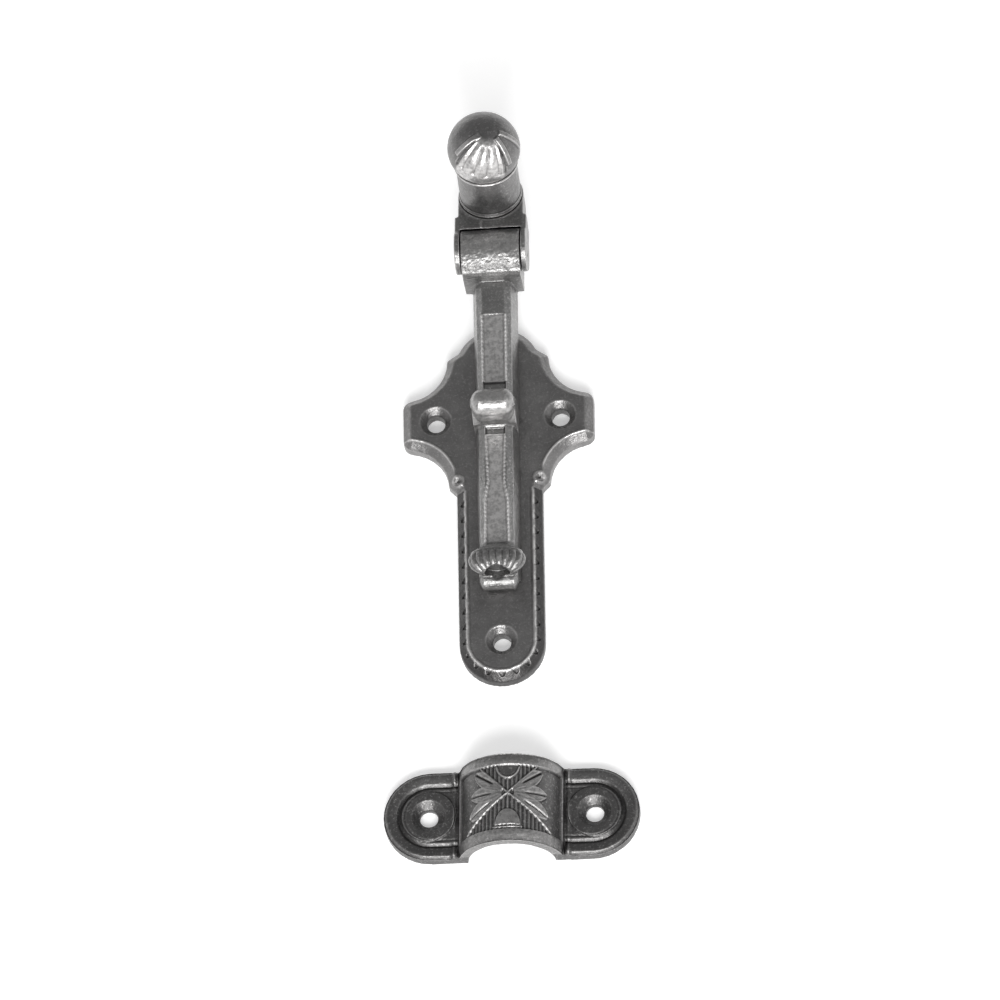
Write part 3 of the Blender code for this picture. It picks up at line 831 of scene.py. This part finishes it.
@dataclass
class Keeper(Casting):
    """Keeper: rimmed feet with a groove round each screw boss, and a carved panel on the arch."""

    centre: tuple[float, float] = (1.8 * MM, -60.3 * MM)
    turn: float = math.radians(-1.3)
    outer: float = 15.1 * MM
    half_width: float = 13.25 * MM
    foot_run: float = 22.45 * MM
    foot_top: float = 3.2 * MM
    panel_half: float = 9.4 * MM
    cross_y: float = 1.4 * MM
    ground: float = 0.75 * MM
    rim_rise: float = 0.55 * MM
    edge_drop: float = 0.9 * MM
    foot_groove: tuple[float, float] = (4.3 * MM, 0.75 * MM)
    foot_line: tuple[float, float] = (5.9 * MM, 0.22 * MM)
    reed_pitch: float = 1.25 * MM
    dome: tuple[float, float, float] = (-8.3 * MM, 3.9 * MM, 5.2 * MM)
    cup: tuple[float, float, float] = (9.9 * MM, 3.3 * MM, 3.9 * MM)
    bar: tuple[float, float] = (-8.95 * MM, 4.3 * MM)
    petal_start: float = 1.8 * MM
    petals: tuple[tuple[float, float], ...] = ((34.0, 12.5 * MM), (1.0, 12.0 * MM), (-27.0, 14.0 * MM))
    upper_end: tuple[float, float] = (8.4 * MM, 9.6 * MM)
    lower_end: tuple[float, float] = (13.6 * MM, -9.2 * MM)

    def carve(self, points: np.ndarray, normals: np.ndarray) -> np.ndarray:
        """Relief of the arch and the feet, in the keeper's own turned frame.

        Args:
            points: vertex places, one row each.
            normals: vertex normals.

        Returns:
            The moved places.
        """
        x, y = self.local(points)
        z = points[:, 2]
        radius = np.hypot(x, z)
        angle = np.arctan2(x, z)
        normal_x, _ = rotate(normals[:, 0], normals[:, 1], -self.turn)
        outward = normal_x * np.sin(angle) + normals[:, 2] * np.cos(angle)
        on_arch = (radius > self.outer - 0.6 * MM) * (radius < self.outer + 0.4 * MM)
        on_arch = on_arch * (outward > 0.3) * (z > self.foot_top + 0.5 * MM)
        aim = self.outer + self.arch_relief(angle * self.outer, y) - radius
        push = on_arch * aim * smoothstep(0.3, 0.75, outward)
        flat = (np.abs(z - self.foot_top) < 1.1 * MM) * smoothstep(0.4, 0.8, normals[:, 2])
        flat = flat * (radius > self.outer + 0.2 * MM)
        push_x, push_y = rotate(push * np.sin(angle), np.zeros_like(push), self.turn)
        push_z = push * np.cos(angle) + flat * self.foot_relief(np.abs(x), y)
        return points + np.stack([push_x, push_y, push_z], 1)

    def rub_and_light_levels(self, points: np.ndarray, normals: np.ndarray) -> np.ndarray:
        """The arch's edges are brightened as a painted highlight and its raised carving is rubbed; the
        feet are darker.

        Args:
            points: vertex places, one row each.
            normals: vertex normals; not used here.

        Returns:
            One level for each vertex, -1 to 1.
        """
        x, y = self.local(points)
        arch = points[:, 2] > self.foot_top + 1.0 * MM
        # painted highlight: a bright band along both edges of the arch
        edge = smoothstep(3.5 * MM, 1.0 * MM, self.half_width - np.abs(y))
        along = np.arctan2(x, points[:, 2]) * self.outer
        high = smoothstep(-0.40 * MM, -0.15 * MM, self.arch_relief(along, y)) * (1.0 - edge)
        return np.where(arch, 0.28 * edge + 0.50 * high - 0.10, -0.30)

    def local(self, points: np.ndarray) -> tuple[np.ndarray, np.ndarray]:
        """Places across and along the keeper, in its own turned frame."""
        return rotate(points[:, 0] - self.centre[0], points[:, 1] - self.centre[1], -self.turn)

    def foot_relief(self, x: np.ndarray, y: np.ndarray) -> np.ndarray:
        """Rolled rim, groove, and a moulding where the arch starts.

        Args:
            x: distance from the keeper's middle, across it.
            y: distance along the arch's axis.

        Returns:
            The height change on the feet.
        """
        far = np.hypot(np.maximum(x - self.foot_run, 0.0), y)
        edge = self.half_width - far
        rim = self.rim_rise * smoothstep(4.0 * MM, 1.2 * MM, edge)
        drop = self.edge_drop * smoothstep(1.1 * MM, 0.0, edge)
        groove_in, groove_depth = self.foot_groove
        groove = ridge(edge - groove_in, 0.75 * MM) * groove_depth
        line_in, line_depth = self.foot_line
        line = ridge(edge - line_in, 0.40 * MM) * line_depth
        wavy = (0.55 + 0.3 * np.cos(y / (2.1 * MM))) * MM
        moulding = ridge(x - self.outer - 0.8 * MM, 0.9 * MM) * wavy
        return rim - drop - groove - line + moulding

    def petal_fan(self, a: np.ndarray, above: np.ndarray) -> np.ndarray:
        """Fan of veined petals that opens sideways from the middle of the cross.

        Args:
            a: distance from the crown, round the arch.
            above: distance above the middle of the cross.

        Returns:
            The fan's height, 0 to 1.
        """
        fan = np.zeros_like(a)
        for petal_deg, length in self.petals:
            forward, aside = rotate(a, above, -math.radians(petal_deg))
            t = np.clip((forward - self.petal_start) / (length - self.petal_start), 0.0, 1.0)
            between = (t > 0) * (t < 1)
            half = (0.25 + 3.3 * np.sqrt(t) * (1.0 - t ** 3)) * MM
            inside = smoothstep(0.45 * MM, -0.1 * MM, np.abs(aside) - half) * between
            vein = ridge(aside, 0.35 * MM) * smoothstep(0.25, 0.45, t)
            rim = ridge(np.abs(aside) - half, 0.38 * MM) * between
            fan = np.maximum(fan, inside * (0.80 + 0.2 * rim - 0.95 * vein))
        return fan

    def arch_relief(self, along: np.ndarray, y: np.ndarray) -> np.ndarray:
        """Height of the arch's carving below its full radius.

        Args:
            along: distance round the arch from its crown.
            y: distance along the arch's axis.

        Returns:
            The change of radius at each point.
        """
        a = np.abs(along)
        panel = smoothstep(self.panel_half + 0.5 * MM, self.panel_half, np.abs(y - 0.1 * MM))
        panel = panel * smoothstep(19.3 * MM, 18.5 * MM, a)
        rims = -0.55 * smoothstep(2.6 * MM, 0.0, self.half_width - np.abs(y))
        crossing = (0.0, self.cross_y)
        upper = segment_distance(a, y, crossing, self.upper_end)
        lower = segment_distance(a, y, crossing, self.lower_end)
        lines = np.maximum(ridge(upper, 0.42 * MM), ridge(lower, 0.42 * MM))
        lines = np.maximum(lines, 0.8 * ridge(a, 0.32 * MM))
        rise_above = y - self.cross_y
        top_sector = rise_above * self.upper_end[0] > a * (self.upper_end[1] - self.cross_y)
        low_sector = -rise_above * self.lower_end[0] > a * (self.cross_y - self.lower_end[1])
        reeds = 0.5 + 0.5 * np.cos(2 * math.pi * a / self.reed_pitch)
        reeded = (top_sector | low_sector) * reeds * 0.55
        fan = self.petal_fan(a, rise_above) * ~(top_sector | low_sector)
        dome_y, dome_half, dome_tall = self.dome
        dome = 1.0 - np.hypot(a / dome_half, np.maximum(y - dome_y, 0.0) / dome_tall)
        dome = smoothstep(0.0, 0.12, dome) * (y > dome_y - 0.1 * MM)
        cup_y, cup_half, cup_tall = self.cup
        cup = 1.0 - np.hypot(a / cup_half, (y - cup_y) / cup_tall)
        cup_in, cup_rim = smoothstep(0.02, 0.12, cup), ridge(cup, 0.14)
        bar_y, bar_half = self.bar
        bar = ridge(y - bar_y, 0.35 * MM) * (a < bar_half)
        height = np.maximum(np.maximum(reeded, fan), np.maximum(lines, bar))
        height = np.where(dome > 0, np.maximum(height * (1 - dome), dome * 0.9), height)
        height = height * (1 - cup_in) + cup_in * 0.35
        height = np.maximum(height, cup_rim * 0.9 * (y < 9.4 * MM))
        return (rims * (1 - panel) + panel * (height - 1.0) * (self.ground / MM)) * MM


@dataclass
class Knob:
    """Knob: round stem, bead and ball cap with straight rays and a fluted front, on a tenon."""

    finish: CastIron
    stem_u: float = 17.2 * MM
    seat: float = 4.7 * MM
    stem: float = 8.7 * MM
    tall: float = 14.2 * MM
    cap: float = 10.19 * MM
    tenon: float = 2.5 * MM
    tenon_long: float = 6.2 * MM
    turns: int = 360
    pole: tuple[float, float, float] = (0.234, -0.211, 0.949)
    rays: tuple[float, ...] = (-147.6, -42.9, -4.0)
    flutes: int = 5
    ray_rise: float = 0.55 * MM
    flute_depth: float = 0.50 * MM
    gutter_depth: float = 0.40 * MM
    bead: float = 0.42 * MM
    bead_below: float = 0.65 * MM
    foot: float = 1.3 * MM
    flare: float = 0.18 * MM
    cap_steps: int = 130
    bead_steps: int = 8
    wall_steps: int = 34
    flare_steps: int = 6
    skin: float = 0.03 * MM
    sharp: float = math.radians(50.0)

    @property
    def centre(self) -> float:
        """Height of the cap's centre above the stem's foot."""
        return self.tall + math.sqrt(self.cap ** 2 - self.stem ** 2)

    def profile(self) -> list[tuple[float, float]]:
        """Work out the outline that is turned.

        Returns:
            Radius and height from the crown down the stem to the tenon's foot.
        """
        seat = -math.acos(self.stem / self.cap)
        points = []
        for i in range(self.cap_steps + 1):
            a = math.pi / 2 + (seat - math.pi / 2) * i / self.cap_steps
            points.append((self.cap * math.cos(a), self.centre + self.cap * math.sin(a)))
        points += [(self.stem - 0.32 * MM, self.tall - 0.15 * MM)]
        for i in range(self.bead_steps + 1):
            a = math.pi / 2 - math.pi * i / self.bead_steps
            points.append((self.stem - 0.05 * MM + self.bead * math.cos(a),
                           self.tall - self.bead_below + self.bead * math.sin(a)))
        wall_top = self.tall - 1.2 * MM
        for i in range(self.wall_steps + 1):
            height = wall_top - (wall_top - self.foot) * i / self.wall_steps
            points.append((self.stem - 0.12 * MM, height))
        for i in range(self.flare_steps + 1):
            a = math.pi / 2 * i / self.flare_steps
            points.append((self.stem + self.flare * math.sin(a), self.foot * (1 - math.sin(a) * 0.55)))
        points += [(self.stem + 0.15 * MM, 0.12 * MM), (self.stem - 0.1 * MM, 0.0)]
        points += [(self.tenon, 0.0), (self.tenon, -self.tenon_long + 0.4 * MM),
                   (self.tenon - 0.4 * MM, -self.tenon_long), (0.0, -self.tenon_long)]
        return points

    def cap_angles(self, spots: np.ndarray) -> tuple[np.ndarray, np.ndarray]:
        """Angles of the cap's pattern for unit directions out of the cap's centre.

        Args:
            spots: directions, one row each, in the knob's own frame.

        Returns:
            Angle from the pattern's pole in radians, and turn about it in degrees.
        """
        pole = Vector(self.pole).normalized()
        side = Vector((0.0, 1.0, 0.0)).cross(pole).normalized()
        ahead = pole.cross(side)
        polar = np.arccos(np.clip(spots @ np.array(pole), -1.0, 1.0))
        return polar, np.degrees(np.arctan2(spots @ np.array(ahead), spots @ np.array(side)))

    def front_share(self, turn: np.ndarray) -> np.ndarray:
        """0 at the first front ray, 1 at the second, for turns about the pole in degrees."""
        return (turn - self.rays[0]) / (self.rays[1] - self.rays[0])

    def ray_mask(self, polar: np.ndarray, turn: np.ndarray) -> np.ndarray:
        """Find the straight rays.

        Args:
            polar: angle from the pattern's pole in radians.
            turn: turn about the pole in degrees.

        Returns:
            1 on the rays, easing to 0 at their sides and ends.
        """
        reach = smoothstep(0.26, 0.32, polar) * smoothstep(1.22, 1.14, polar)
        mask = np.zeros(len(polar))
        for ray in self.rays:
            off = np.radians(turn - ray)
            across = np.where(np.cos(off) > 0, np.abs(np.sin(off)) * np.sin(polar) * self.cap, 1.0)
            mask = np.maximum(mask, smoothstep(0.95 * MM, 0.50 * MM, across) * reach)
        return mask

    def cap_relief(self, spots: np.ndarray) -> np.ndarray:
        """Rays, and flutes between the two front rays.

        Args:
            spots: unit directions out of the cap's centre, one row each.

        Returns:
            The height change in each direction.
        """
        polar, turn = self.cap_angles(spots)
        share = self.front_share(turn)
        inside = smoothstep(0.08, 0.11, share) * smoothstep(0.92, 0.89, share)
        wave = np.abs(np.sin(math.pi * share * self.flutes))
        fade = smoothstep(0.42, 0.60, polar) * smoothstep(1.50, 1.42, polar)
        gutter = smoothstep(0.055, 0.075, share) * smoothstep(0.13, 0.10, share)
        gutter = gutter + smoothstep(0.945, 0.925, share) * smoothstep(0.87, 0.90, share)
        cuts = inside * (1.0 - wave) ** 1.3 * self.flute_depth + gutter * self.gutter_depth
        return self.ray_rise * self.ray_mask(polar, turn) - fade * cuts

    def cap_rub_and_highlight(self, spots: np.ndarray) -> np.ndarray:
        """The cap is brightest between its two front rays, rubbed and brightened as a painted
        highlight; the rays are lightly rubbed.

        Args:
            spots: unit directions out of the cap's centre, one row each.

        Returns:
            The rubbing and painted highlight in each direction, 0 to 1.
        """
        polar, turn = self.cap_angles(spots)
        share = self.front_share(turn)
        # painted highlight: the front fan between the two front rays is made bright, on top of its
        # rubbing
        inside = smoothstep(0.08, 0.13, share) * smoothstep(0.93, 0.88, share)
        ray = 0.35 * self.ray_mask(polar, turn)
        return np.maximum(0.04 + 0.9 * inside * smoothstep(0.22, 0.5, polar), ray)

    def stem_rub(self, points: np.ndarray) -> np.ndarray:
        """The bead under the cap is bright, the stem hardly rubbed."""
        return 0.05 + 0.95 * ridge(points[:, 2] - self.tall + self.bead_below, 0.5 * MM)

    def turned(self) -> bpy.types.Mesh:
        """Turn the profile about the knob's axis.

        Returns:
            The plain mesh, standing on the stem's foot.
        """
        angles = [2 * math.pi * i / self.turns for i in range(self.turns)]
        bm = bmesh.new()
        rings = []
        for radius, height in self.profile():
            if radius < 1e-6:
                rings.append([bm.verts.new((0.0, 0.0, height))])
            else:
                rings.append([bm.verts.new((radius * math.cos(a), radius * math.sin(a), height))
                              for a in angles])
        for upper, lower in zip(rings, rings[1:]):
            for i in range(self.turns):
                j = (i + 1) % self.turns
                corners = [upper[i % len(upper)], lower[i % len(lower)], lower[j % len(lower)],
                           upper[j % len(upper)]]
                bm.faces.new(list(dict.fromkeys(corners)))
        bmesh.ops.recalc_face_normals(bm, faces=bm.faces)
        mesh = bpy.data.meshes.new("knob_cast")
        bm.to_mesh(mesh)
        bm.free()
        return mesh

    def build(self) -> bpy.types.Object:
        """Turn the knob, carve its cap and mount it on the arm.

        Returns:
            The finished knob.
        """
        mesh = self.turned()
        points, normals = mesh_arrays(mesh)
        spots = points - np.array([0.0, 0.0, self.centre])
        length = np.linalg.norm(spots, axis=1)
        on_cap = (np.abs(length - self.cap) < 0.05 * MM) * (points[:, 2] > self.tall)
        spots = spots / np.maximum(length, 1e-9)[:, None]
        set_rub_and_light(mesh, np.where(on_cap, self.cap_rub_and_highlight(spots), self.stem_rub(points)))
        lift = on_cap * self.cap_relief(spots)
        points = points + spots * lift[:, None] + normals * (self.skin * cast_skin(points))[:, None]
        mesh.vertices.foreach_set("co", points.astype(np.float32).ravel())
        mesh.shade_smooth()
        mesh.set_sharp_from_angle(angle=self.sharp)
        knob = bpy.data.objects.new("knob_cast", mesh)
        bpy.context.scene.collection.objects.link(knob)
        mesh.transform(Matrix.Translation((0.0, *HINGE)) @ Matrix.Rotation(LEAN, 4, "X")
                       @ Matrix.Translation((0.0, self.stem_u, self.seat)))
        for vertex in mesh.vertices:
            vertex.co.z = min(vertex.co.z, CAD_BOX[1][2])
        mesh.update()
        set_bend(mesh)
        mesh.materials.append(self.finish.build())
        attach(knob, Body.TOGGLE.value)
        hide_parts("knob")
        LOG.info("%s: %d faces", knob.name, len(mesh.polygons))
        return knob


@dataclass
class Fasteners:
    """Hinge pin with peened ends, and the rivets, washers and spring behind the plate."""

    steel: CastIron
    pin_radius: float = 2.25 * MM
    pin_half: float = 10.1 * MM
    dome: float = 0.5 * MM
    dome_steps: int = 8
    pin_turns: int = 64
    packed: tuple[str, ...] = ("guide_rivet_lower", "guide_rivet_upper", "guide_washer_lower",
                               "guide_washer_upper", "friction_spring")

    def pin(self) -> bpy.types.Object:
        """Peened hinge pin, turned about its own axis.

        Returns:
            The finished pin.
        """
        profile = [(0.0, self.pin_half)]
        for i in range(1, self.dome_steps + 1):
            t = i / self.dome_steps
            profile.append((self.pin_radius * t, self.pin_half - self.dome * t ** 3))
        profile += [(r, -z) for r, z in reversed(profile)]
        bm = bmesh.new()
        points = [bm.verts.new((r, 0.0, z)) for r, z in profile]
        for first, second in zip(points, points[1:]):
            bm.edges.new((first, second))
        mesh = bpy.data.meshes.new("hinge_pin_peened")
        bm.to_mesh(mesh)
        bm.free()
        pin = bpy.data.objects.new("hinge_pin_peened", mesh)
        bpy.context.scene.collection.objects.link(pin)
        screw = pin.modifiers.new("turn", "SCREW")
        screw.steps = screw.render_steps = self.pin_turns
        screw.use_merge_vertices = True
        screw.merge_threshold = 0.01 * MM
        apply_modifiers(pin)
        pin.data.transform(Matrix.Translation((0.0, *HINGE)) @ Matrix.Rotation(math.pi / 2, 4, "Y"))
        pin.data.shade_smooth()
        set_bend(pin.data)
        pin.data.materials.append(self.steel.build())
        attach(pin, Body.BOLT.value)
        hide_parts("hinge_pin")
        LOG.info("%s: %d faces", pin.name, len(pin.data.polygons))
        return pin

    def build(self) -> None:
        """Make the pin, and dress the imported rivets, washers and spring."""
        self.pin()
        finish = self.steel.build()
        for name in self.packed:
            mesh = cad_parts[name].data
            mesh.materials.clear()
            mesh.materials.append(finish)
            LOG.info("%s: dressed", name)


@dataclass(frozen=True)
class Softbox:
    """A rectangular area light that faces the latch."""

    name: str
    place: tuple[float, float, float]
    size: tuple[float, float]
    power: float

    def build(self, aim: tuple[float, float, float]) -> None:
        """Add the light.

        Args:
            aim: the point that it faces.
        """
        data = bpy.data.lights.new(self.name, "AREA")
        data.shape = "RECTANGLE"
        data.size, data.size_y = self.size
        data.energy = self.power
        light = bpy.data.objects.new(self.name, data)
        bpy.context.scene.collection.objects.link(light)
        light.location = self.place
        light.rotation_euler = (Vector(aim) - Vector(self.place)).to_track_quat("-Z", "Y").to_euler()


@dataclass
class Studio:
    """Pale floor, soft lights and the camera."""

    across: tuple[float, float, float] = (0.9950, -0.0151, -0.0985)
    upward: tuple[float, float, float] = (0.0553, 0.9060, 0.4200)
    target: tuple[float, float, float] = (1.34 * MM, 29.19 * MM, 17.32 * MM)
    distance: float = 10.332
    lens: float = 1339.2
    sensor: float = 36.0
    clip: tuple[float, float] = (0.05, 40.0)
    floor_size: float = 6.0
    floor_z: float = -0.4 * MM
    floor_white: float = 0.93
    floor_glow: float = 0.34
    sky_strength: float = 0.36
    middle: tuple[float, float, float] = (0.0, 0.03, 0.0)
    lights: tuple[Softbox, ...] = (
        Softbox("front_softbox", (0.08, -1.30, 0.95), (1.1, 0.8), 34.0),
        Softbox("left_softbox", (-1.4, -0.1, 0.75), (1.1, 1.4), 3.0),
        Softbox("right_softbox", (1.4, -0.1, 0.75), (1.1, 1.4), 4.2))

    def camera(self) -> None:
        """Long-lens camera above the latch's foot, a little to its right."""
        data = bpy.data.cameras.new("camera")
        data.lens = self.lens
        data.sensor_width = self.sensor
        data.clip_start, data.clip_end = self.clip
        camera = bpy.data.objects.new("camera", data)
        bpy.context.scene.collection.objects.link(camera)
        right = Vector(self.across).normalized()
        up = (Vector(self.upward) - right * right.dot(Vector(self.upward))).normalized()
        back = right.cross(up)
        turn = Matrix((right, up, back)).transposed().to_4x4()
        place = Vector(self.target) + back * self.distance
        camera.matrix_world = Matrix.Translation(place) @ turn
        bpy.context.scene.camera = camera

    def floor(self) -> None:
        """Matt white floor under the latch."""
        bpy.ops.mesh.primitive_plane_add(size=self.floor_size, location=(0.0, 0.0, self.floor_z))
        floor = bpy.context.object
        floor.name = "floor"
        material = bpy.data.materials.new("floor_white")
        material.use_nodes = True
        shader = material.node_tree.nodes["Principled BSDF"]
        shader.inputs["Base Color"].default_value = (*[self.floor_white] * 3, 1.0)
        shader.inputs["Roughness"].default_value = 0.9
        shader.inputs["Specular IOR Level"].default_value = 0.1
        shader.inputs["Emission Color"].default_value = (1.0, 1.0, 1.0, 1.0)
        shader.inputs["Emission Strength"].default_value = self.floor_glow
        floor.data.materials.append(material)

    def build(self) -> None:
        """Set the stage."""
        self.floor()
        self.camera()
        world = bpy.data.worlds.new("studio")
        world.use_nodes = True
        background = world.node_tree.nodes["Background"]
        background.inputs["Color"].default_value = (1.0, 1.0, 1.0, 1.0)
        background.inputs["Strength"].default_value = self.sky_strength
        bpy.context.scene.world = world
        for light in self.lights:
            light.build(self.middle)
        bpy.context.scene.view_settings.view_transform = "Standard"


def main() -> None:
    """Build every piece in order."""
    plate = CastIron("plate_cast_iron", base=(0.165, 0.162, 0.161), specks=0.35)
    bolt = CastIron("bolt_cast_iron", base=(0.19, 0.188, 0.186), smooth=0.30, rough=0.44)
    cap = CastIron("knob_cast_iron", base=(0.13, 0.128, 0.127), smooth=0.28, rough=0.44, specks=0.4)
    keeper = CastIron("keeper_cast_iron", base=(0.125, 0.123, 0.122), smooth=0.36, rough=0.50,
                      wear=0.45)
    steel = CastIron("steel_dark", base=(0.22, 0.22, 0.22), smooth=0.25, rough=0.40, grain=0.00006)
    Backplate("backplate", Body.PLATE, Slot.PLATE, plate, voxel=0.28 * MM).build()
    BoltBar("bolt_bar", Body.BOLT, Slot.BOLT, bolt, voxel=0.20 * MM).build()
    ToggleArm("toggle_arm", Body.TOGGLE, Slot.BOLT, bolt, voxel=0.22 * MM).build()
    Knob(cap).build()
    Keeper("keeper", Body.KEEPER, Slot.KEEPER, keeper, voxel=0.22 * MM).build()
    Fasteners(steel).build()
    Studio().build()


if __name__ == "__main__":
    main()
